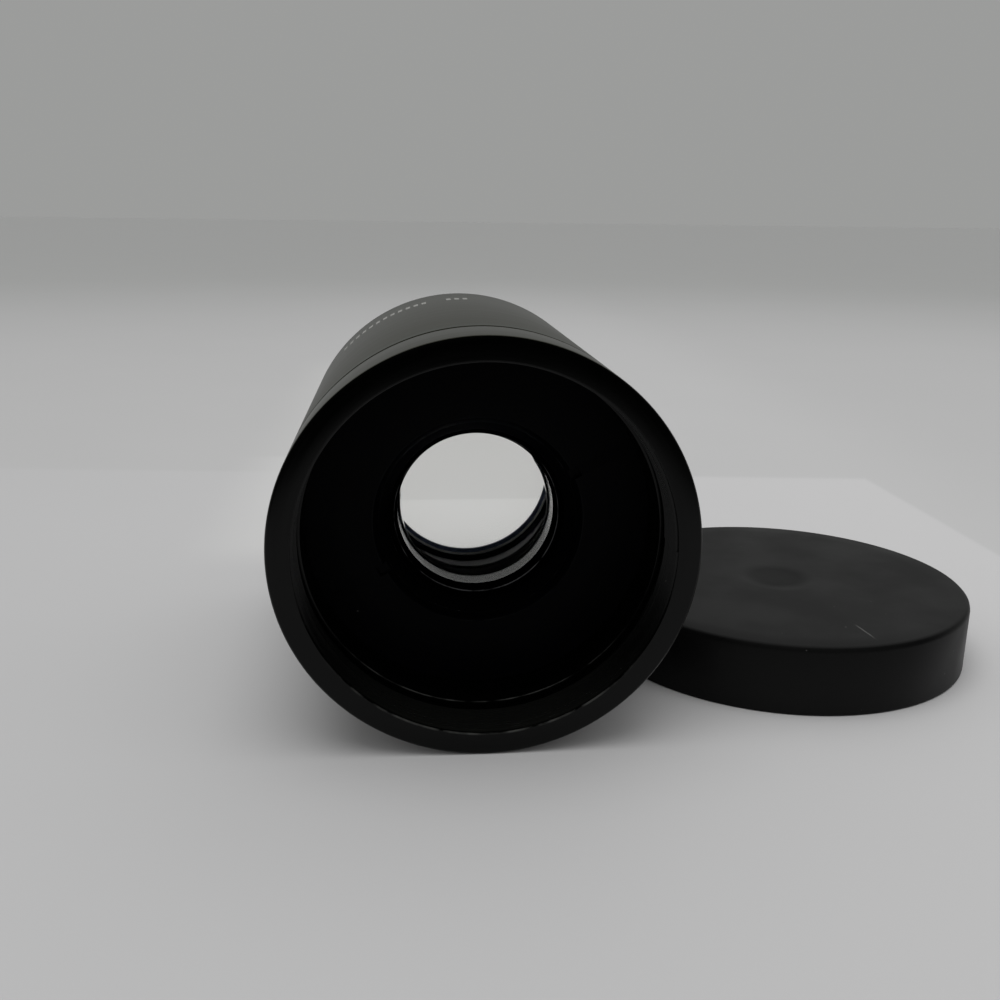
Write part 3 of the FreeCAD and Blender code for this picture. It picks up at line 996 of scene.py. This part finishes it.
@dataclass
class RearGroup:
    """The lens cell behind the mouth with its retainer, glasses, spacer and shim."""

    workshop: Workshop
    flange: float = 37.45
    flange_length: float = 3.7
    funnel: float = 21.6
    land: float = 20.4
    land_step: float = 0.45
    tube: float = 22.6
    tube_flare: float = 2.4
    thread: float = 18.4
    bore: float = 16.9
    rear_bore: float = 21.3
    sleeve_bore: float = 20.8
    lip_length: float = 0.8
    retainer_front: float = 28.7
    retainer_taper: float = 0.65
    seat: float = 31.8
    negative: float = 16.85
    negative_clear: float = 16.6
    negative_front: float = 85.0
    negative_back: float = 56.0
    meniscus: float = 21.25
    meniscus_clear: float = 20.95
    meniscus_front: float = 90.0
    meniscus_back: float = 260.0
    bevel: float = 0.15
    notch_angle: float = 27.0
    notch_radii: tuple[float, float] = (20.0, 23.2)
    notch_size: float = 1.1
    slot_outer: float = 19.4

    def __post_init__(self) -> None:
        """Read from the frame where each piece begins and ends."""
        self.face, self.back = ends("lens_cell")
        self.negative_rim = ends("negative_element")[1]
        self.shoulder, self.sleeve_end = ends("spacer_ring")
        self.meniscus_vertex, self.meniscus_rim = ends("meniscus_element")

    def funnel_along(self, radius: float) -> float:
        """Place along the axis of the funnel's face at a radius."""
        opening = self.negative_clear + self.retainer_taper
        return self.face + (self.funnel - radius) * (self.retainer_front - self.face) / (self.funnel - opening)

    def build(self) -> None:
        """Turn every piece of the group."""
        self.build_cell()
        self.build_retainer()
        self.build_negative()
        self.build_meniscus()
        self.workshop.dress_node("cell_shim", SHIM_BRASS)

    def build_cell(self) -> None:
        """Turn the flanged cell and cut its spanner notches."""
        flange_back = self.face + self.flange_length
        ledge_end = self.shoulder - (self.sleeve_bore - self.negative_clear)
        cell = Turning("lens_cell_turned").path(
            (self.funnel, self.face, 0.18), (self.flange, self.face), (self.flange, flange_back),
            (self.tube + self.tube_flare, flange_back), (self.tube, flange_back + self.tube_flare),
            (self.tube, self.back), (self.meniscus_clear, self.back, 0.1),
            (self.meniscus_clear, self.back - self.lip_length), (self.rear_bore, self.back - self.lip_length),
            (self.rear_bore, self.shoulder), (self.sleeve_bore, self.shoulder), (self.negative_clear, ledge_end),
            (self.negative_clear, self.negative_rim), (self.bore, self.negative_rim), (self.bore, self.seat + 0.2),
            (self.thread, self.seat + 0.2), (self.thread, self.funnel_along(self.thread), 0.08),
            (self.land, self.funnel_along(self.land) + self.land_step),
            (self.land, self.funnel_along(self.land), 0.08),
        )
        piece = cell.spin()
        along = (CUT_START, self.face + self.notch_size)
        cut_slots(piece, self.notch_radii, along, self.notch_size, self.notch_angle)
        self.workshop.dress(piece, "lens_cell", "cell_anodise", CELL_BLACK)

    def build_retainer(self) -> None:
        """Turn the conical threaded ring in front of the rear glass and cut its slots."""
        outer = self.thread - CLEARANCE
        opening = self.negative_clear + self.retainer_taper
        ring = Turning("lens_cell_retainer_turned").path(
            (opening, self.retainer_front, 0.07), (outer, self.funnel_along(outer), 0.08), (outer, self.seat),
            (self.negative_clear, self.seat),
        )
        piece = ring.spin()
        radii, along = (opening + 0.5, self.slot_outer), (CUT_START, self.retainer_front + SLOT_DEPTH)
        cut_slots(piece, radii, along, SLOT_HALF, self.notch_angle + 90)
        self.workshop.dress(piece, "lens_cell_retainer", "cell_anodise", RETAINER_BLACK)

    def build_negative(self) -> None:
        """Turn the biconcave glass with its bevelled ground edge."""
        edge, clear, rim = self.negative, self.negative_clear, self.negative_rim
        front_vertex = self.seat + sag(self.negative_front, clear)
        glass = Turning("negative_glass").path((0, front_vertex))
        glass.dome(clear, front_vertex, -self.negative_front)
        glass.path(
            (edge - self.bevel, self.seat), (edge, self.seat + self.bevel), (edge, rim - self.bevel),
            (edge - self.bevel, rim), (clear, rim),
        )
        glass.dome(0, rim - sag(self.negative_back, clear), self.negative_back)
        piece = glass.spin()
        self.workshop.dress(piece, "negative_element", "crown_glass", CROWN_GLASS, GROUND_EDGE)
        finish_rim(piece, clear)

    def build_meniscus(self) -> None:
        """Turn the sleeve on the cell's shoulder and the meniscus behind it."""
        edge, clear, rim = self.meniscus, self.meniscus_clear, self.meniscus_rim
        sleeve = Turning("spacer_turned").path(
            (self.sleeve_bore, self.shoulder), (edge, self.shoulder), (edge, self.sleeve_end),
            (self.sleeve_bore, self.sleeve_end, 0.06),
        )
        self.workshop.dress(sleeve.spin(), "spacer_ring", "cell_anodise", CELL_BLACK)
        glass = Turning("meniscus_glass").path((0, self.meniscus_vertex))
        glass.dome(edge, self.meniscus_vertex, self.meniscus_front)
        glass.path((edge, rim - self.bevel), (edge - self.bevel, rim), (clear, rim))
        glass.dome(0, rim - sag(self.meniscus_back, clear), self.meniscus_back)
        piece = glass.spin()
        self.workshop.dress(piece, "meniscus_element", "flint_glass", FLINT_GLASS, BLACKENED_EDGE)
        finish_rim(piece, clear)


@dataclass
class Baffle:
    """The stepped conical shade between the two groups."""

    workshop: Workshop
    steps: int = 8
    rear: float = 22.65
    wall: float = 0.9
    front: float = 31.7
    collar_wall: float = 1.1

    def build(self) -> None:
        """Turn the shade."""
        start, end = ends("light_baffle")
        cell_end = ends("lens_cell")[1]
        run = end - cell_end
        out = (self.front - self.rear) / self.steps
        shade = Turning("light_baffle_turned").path(
            (self.rear, start), (self.rear + self.collar_wall, start), (self.rear + out + self.wall, cell_end),
            (self.front + self.wall, end - run / self.steps), (self.front + self.wall, end),
        )
        for step in range(self.steps, 0, -1):
            radius = self.rear + step * out
            shade.path(
                (radius, cell_end + step * run / self.steps), (radius, cell_end + (step - 1) * run / self.steps),
            )
        shade.path((self.rear, cell_end))
        self.workshop.dress(shade.spin(BAFFLE_FLATS), "light_baffle", "baffle_paint", PAINT_BLACK)


@dataclass
class FrontGroup:
    """The objective cell with the cemented doublet and its retainer."""

    workshop: Workshop
    glass: float = 31.5
    bore: float = 31.55
    thread: float = 32.15
    clear: float = 29.7
    seat: float = 29.6
    lip_length: float = 2.4
    retainer_length: float = 2.2
    cement: float = 95.0
    front_curve: float = 91.9
    back_curve: float = 240.0
    bevel: float = 0.15
    slot_angle: float = 27.0
    land: float = 3.0
    waist: float = 1.6
    chamfer: float = 0.6

    def build(self) -> None:
        """Turn every piece of the group."""
        self.build_cell()
        self.build_retainer()
        self.build_flint()
        self.build_crown()

    def build_cell(self) -> None:
        """Turn the cell, relieved between its two lands."""
        back, front = ends("objective_cell")
        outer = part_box("objective_cell")[1].x / MM
        seat = back + self.lip_length
        thread_end = front - self.retainer_length - 0.2
        slope_end = self.land + self.waist / 2
        cell = Turning("objective_cell_turned").path(
            (self.seat, back, 0.1), (outer, back), (outer, back + self.land), (outer - self.waist, back + slope_end),
            (outer - self.waist, front - slope_end), (outer, front - self.land), (outer, front),
            (self.thread, front, 0.1), (self.thread, thread_end), (self.bore, thread_end), (self.bore, seat),
            (self.seat, seat, 0.1),
        )
        self.workshop.dress(cell.spin(), "objective_cell", "cell_anodise", OBJECTIVE_BLACK)

    def build_retainer(self) -> None:
        """Turn the threaded ring in front of the glass and cut its slots."""
        back, front = ends("objective_retainer")
        outer = self.thread - CLEARANCE
        ring = Turning("objective_retainer_turned").path(
            (self.clear, back, 0.08), (outer, back), (outer, front, 0.1), (self.clear + self.chamfer, front, 0.08),
            (self.clear, front - self.chamfer, 0.08),
        )
        piece = ring.spin()
        radii, along = ((self.clear + outer) / 2, outer + 1.0), (front - SLOT_DEPTH, front + SLOT_DEPTH)
        cut_slots(piece, radii, along, SLOT_HALF, self.slot_angle)
        self.workshop.dress(piece, "objective_retainer", "cell_anodise", OBJECTIVE_BLACK, OBJECTIVE_SEAT_REFLECTION)
        # Painted reflection: the rear faces get the colour of the glass's bluish reflection.
        finish_faces(piece, lambda middle, normal: normal.y < -0.7)

    def build_flint(self) -> None:
        """Turn the glass that sits on the cell's lip."""
        vertex, rim = ends("objective_flint")
        seat = vertex + sag(self.back_curve, self.seat)
        flint = Turning("flint_glass_turned").path((0, vertex))
        flint.dome(self.seat, vertex, self.back_curve)
        flint.path((self.glass - self.bevel, seat), (self.glass, seat + self.bevel), (self.glass, rim))
        flint.dome(0, rim - sag(self.cement, self.glass), self.cement)
        piece = flint.spin()
        self.workshop.dress(piece, "objective_flint", "flint_glass", FLINT_GLASS, BLACKENED_EDGE)
        finish_rim(piece, self.seat, 0.5)

    def build_crown(self) -> None:
        """Turn the biconvex glass cemented in front of it."""
        back_vertex, vertex = ends("objective_crown")
        crown = Turning("crown_glass_turned").path((0, back_vertex))
        crown.dome(self.glass, back_vertex, self.cement)
        crown.path((self.glass, vertex - sag(self.front_curve, self.glass)))
        crown.dome(0, vertex, -self.front_curve)
        piece = crown.spin()
        self.workshop.dress(piece, "objective_crown", "crown_glass", CROWN_GLASS, BLACKENED_EDGE)
        finish_rim(piece, self.glass - 0.5, 0.5)


@dataclass
class FrontEnd:
    """The front ring with the filter thread."""

    workshop: Workshop
    lip: float = 32.8
    thread_length: float = 4.1
    thread_lead: float = 0.5
    lip_length: float = 1.2
    chamfer: float = 0.6
    relief_length: float = 0.7

    def build(self) -> None:
        """Turn the ring and its thread."""
        start, end = ends("front_ring")
        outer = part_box("front_ring")[1].x / MM
        lip_front = start + self.lip_length
        thread_back = end - self.thread_lead - self.thread_length
        chamfer_radius = THREAD_CREST + self.thread_lead
        ring = Turning("front_ring_turned").path(
            (self.lip, start), (outer, start), (outer, end, 0.08), (chamfer_radius, end, 0.05),
            (THREAD_ROOT, end + THREAD_ROOT - chamfer_radius), (THREAD_ROOT, thread_back),
            (THREAD_RELIEF, thread_back), (THREAD_RELIEF, thread_back - self.relief_length),
            (THREAD_CREST - self.lip_length, lip_front), (self.lip + self.chamfer, lip_front, 0.08),
            (self.lip, lip_front - self.chamfer, 0.08),
        )
        self.workshop.dress(ring.spin(), "front_ring", "barrel_anodise", RING_BLACK)
        ridge = ThreadRidge("filter_thread", first=thread_back + 0.2, turns=4).build()
        ridge.data.materials.append(self.workshop.finish(THREAD_BLACK))
        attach(ridge, "root")


@dataclass
class DustCap:
    """The slip-on cap that lies open side down beside the barrel."""

    workshop: Workshop
    wall: float = 2.2
    top: float = 2.4
    edge_round: float = 1.3
    foot_round: float = 0.5
    dimple: float = 9.0
    dimple_depth: float = 0.25
    dimple_slope: float = 3.2

    def build(self) -> None:
        """Turn the moulded cap about its upright axis."""
        low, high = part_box("dust_cap")
        centre = (low + high) / 2 / MM
        outer = (high.x - low.x) / 2 / MM
        foot, crown = low.z / MM, high.z / MM
        bore = outer - self.wall
        cap = Turning("dust_cap_moulded", Axis.UPRIGHT, (centre.x, centre.y)).path(
            (0, crown - self.dimple_depth), (self.dimple - self.dimple_slope, crown - self.dimple_depth, 1.0),
            (self.dimple, crown, 1.0), (outer - 6.0, crown), (outer, crown, self.edge_round),
            (outer, foot, self.foot_round), (bore, foot, 0.3), (bore, crown - self.top, 0.5), (0, crown - self.top),
        )
        self.workshop.dress(cap.spin(LARGE_FLATS), "dust_cap", "cap_plastic", CAP_BLACK)
        self.workshop.dress_node("cap_liner", FELT_BLACK)


@dataclass
class Studio:
    """Floor, surroundings, lamps and the camera. Places in metres, the camera's in millimetres."""

    floor_size: float = 24.0
    sheet_edge: float = 0.2275
    sheet_slant: float = 0.09
    sheet_side: float = 0.1703
    # Painted light: two tones each for the sheet and the table, blended so they grow lighter towards the right and the
    # back.
    sheet_light_tones: tuple[Colour, Colour] = ((0.460, 0.460, 0.462), (0.520, 0.518, 0.520))
    table_light_tones: tuple[Colour, Colour] = ((0.448, 0.448, 0.448), (0.474, 0.474, 0.474))
    table_side_tone: Colour = (0.450, 0.450, 0.450)
    # Painted pool of light: where the paler patch lies behind the barrel, seen through the glasses, and its two tones.
    seen_through: tuple[float, float, float] = (0.11, 0.5, 0.261)
    through_glass_light_tones: tuple[Colour, Colour] = ((0.548, 0.548, 0.543), (0.500, 0.500, 0.495))
    speckle_tone: Colour = (0.2, 0.2, 0.2)
    pale_ahead: float = 0.14
    dark_ahead: float = 0.30
    room_shade: Colour = (0.012, 0.012, 0.013)
    far_tone: Colour = (0.330, 0.333, 0.328)
    upper_tone: Colour = (0.27, 0.275, 0.27)
    ceiling_tone: Colour = (0.08, 0.08, 0.08)
    light: float = 0.86
    fill: float = 0.58
    aim: tuple[float, float, float] = (0.02, 0.05, 0.0)
    camera_place: tuple[float, float, float] = (-15.15, -182.61, 60.94)
    yaw: float = -0.0947
    pitch: float = -0.2671
    roll: float = 0.0129
    lens: float = 37.707

    def build(self) -> None:
        """Set up everything that isn't part of the object."""
        self.build_floor()
        self.build_world()
        self.build_lamps()
        self.build_camera()

    def build_floor(self) -> None:
        """Lay a pale floor under the barrel."""
        deselect_all()
        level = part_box("main_barrel")[0].z
        bpy.ops.mesh.primitive_grid_add(
            x_subdivisions=8, y_subdivisions=8, size=self.floor_size, location=(0, 0, level),
        )
        floor = bpy.context.object
        floor.name = "floor"
        bpy.ops.object.transform_apply(location=True)
        floor.data.materials.append(self.floor_material())

    def floor_material(self) -> bpy.types.Material:
        """Build the floor's material: a sheet, and a shade greyer past its edges.

        Returns:
            Material with a painted light falloff across sheet and table, a painted pool of light on the floor seen
            through the glasses, and painted shade ahead of the barrel that only glossy rays see.
        """
        material, bench, shader, coordinates = open_material("floor_pale")
        x, y, z = bench.split(coordinates)
        slanted = bench.math("ADD", y, bench.times(x, self.sheet_slant))
        side = bench.fade(x, self.sheet_side - 0.0015, self.sheet_side + 0.0015)
        past = bench.math("MAXIMUM", side, bench.fade(slanted, self.sheet_edge - 0.003, self.sheet_edge + 0.003))
        # Painted light: sheet and table grow lighter towards the right and the back.
        across = bench.times(bench.fade(x, -0.22, 0.16), bench.fade(y, -0.10, 0.14, 0.4, 1.0))
        sheet, table = bench.blend(across, *self.sheet_light_tones), bench.blend(across, *self.table_light_tones)
        # The table turns darker towards the right.
        table = bench.blend(bench.fade(x, 0.15, 0.26), table, self.table_side_tone)
        tone = bench.blend(past, sheet, table)
        # Painted pool of light: a paler patch of floor behind the barrel, seen through the glasses.
        near, far, edge = self.seen_through
        narrow = bench.fade(bench.math("ABSOLUTE", x), 0.05, 0.09, 1.0, 0.0)
        painted_pool = bench.times(narrow, bench.band(y, near, near + 0.03, far, far + 0.1))
        tone = bench.blend(painted_pool, tone, bench.blend(bench.fade(y, edge - 0.003, edge + 0.003), *self.through_glass_light_tones))
        horizon = tuple(part / self.light for part in self.far_tone)
        tone = bench.blend(bench.fade(bench.length(x, y), 0.6, 1.6), tone, horizon)
        speckle = bench.group(grain(), Coordinates=coordinates, Density=900.0)["Patch"]
        tone = bench.blend(bench.times(speckle, 0.05), tone, self.speckle_tone)
        # Painted shade: to glossy rays the floor ahead of the barrel turns dark, like the dim room in front.
        glossy = bench.add("LightPath").outputs["Is Glossy Ray"]
        ahead = bench.fade(y, -self.dark_ahead, -self.pale_ahead, 1.0, 0.0)
        tone = bench.blend(bench.times(glossy, ahead), tone, self.room_shade)
        bench.feed(shader, {"Base Color": tone, "Roughness": 0.75, "Specular IOR Level": 0.2})
        return material

    def build_world(self) -> None:
        """Surround the object with an even pale grey that lights it softly, and is darker to glossy rays."""
        world = bpy.data.worlds.new("surroundings")
        bpy.context.scene.world = world
        world.use_nodes = True
        world.node_tree.nodes.clear()
        bench = Bench(world.node_tree)
        x, y, z = bench.split(bench.add("TexCoord").outputs["Generated"])
        path = bench.add("LightPath").outputs
        glossy = path["Is Glossy Ray"]
        seen = self.far_tone
        for share, tone in (
            (bench.fade(z, 0.0, 0.35), self.upper_tone),
            (bench.fade(z, 0.45, 0.95), self.ceiling_tone),
            (bench.fade(y, -0.25, 0.25, 1.0, 0.0), self.room_shade),
        ):
            seen = bench.blend(bench.times(glossy, share), seen, tone)
        passed = bench.math("MAXIMUM", glossy, path["Is Transmission Ray"])
        visible = bench.math("MAXIMUM", path["Is Camera Ray"], passed)
        colour = bench.blend(visible, (self.fill, self.fill, self.fill), seen)
        background = bench.add("Background", {"Color": colour, "Strength": 1.0})
        bench.add("OutputWorld", {"Surface": background.outputs[0]})

    def build_lamps(self) -> None:
        """Hang a broad sky and a large soft lamp above, and a smaller one to the right behind."""
        for name, kind, place, size, power in (
            ("sky_lamp", "SUN", Vector((-0.06, -0.10, 1.1)), 0.9, 0.96),
            ("key_lamp", "AREA", Vector((-0.10, -0.20, 1.1)), 0.9, 2.6),
            ("fill_lamp", "AREA", Vector((0.45, 0.50, 0.9)), 0.7, 0.8),
        ):
            deselect_all()
            turn = (Vector(self.aim) - place).to_track_quat("-Z", "Y").to_euler()
            bpy.ops.object.light_add(type=kind, location=place, rotation=turn)
            lamp = bpy.context.object
            lamp.name = name
            setattr(lamp.data, "angle" if kind == "SUN" else "size", size)
            lamp.data.energy = power
            lamp.visible_camera = False
            lamp.visible_glossy = False

    def build_camera(self) -> None:
        """Place the camera at the photograph's viewing angle."""
        turn = (Matrix.Rotation(self.yaw, 4, "Z") @ Matrix.Rotation(math.pi / 2 + self.pitch, 4, "X")
                @ Matrix.Rotation(self.roll, 4, "Z"))
        deselect_all()
        bpy.ops.object.camera_add(location=Vector(self.camera_place) * MM, rotation=turn.to_euler())
        camera = bpy.context.object
        camera.name = "camera"
        camera.data.lens = self.lens
        camera.data.sensor_width = 36.0
        camera.data.clip_start = 0.005
        camera.data.clip_end = 50.0
        bpy.context.scene.camera = camera


def main() -> None:
    """Build every sub-assembly, dress it and set the stage."""
    logging.basicConfig(level=logging.INFO, format="%(message)s")
    bpy.context.scene.view_settings.view_transform = "Standard"
    workshop = Workshop()
    MountEnd(workshop).build()
    RearGroup(workshop).build()
    Barrel(workshop).build()
    Baffle(workshop).build()
    FrontGroup(workshop).build()
    FrontEnd(workshop).build()
    DustCap(workshop).build()
    Studio().build()


if __name__ == "__main__":
    main()
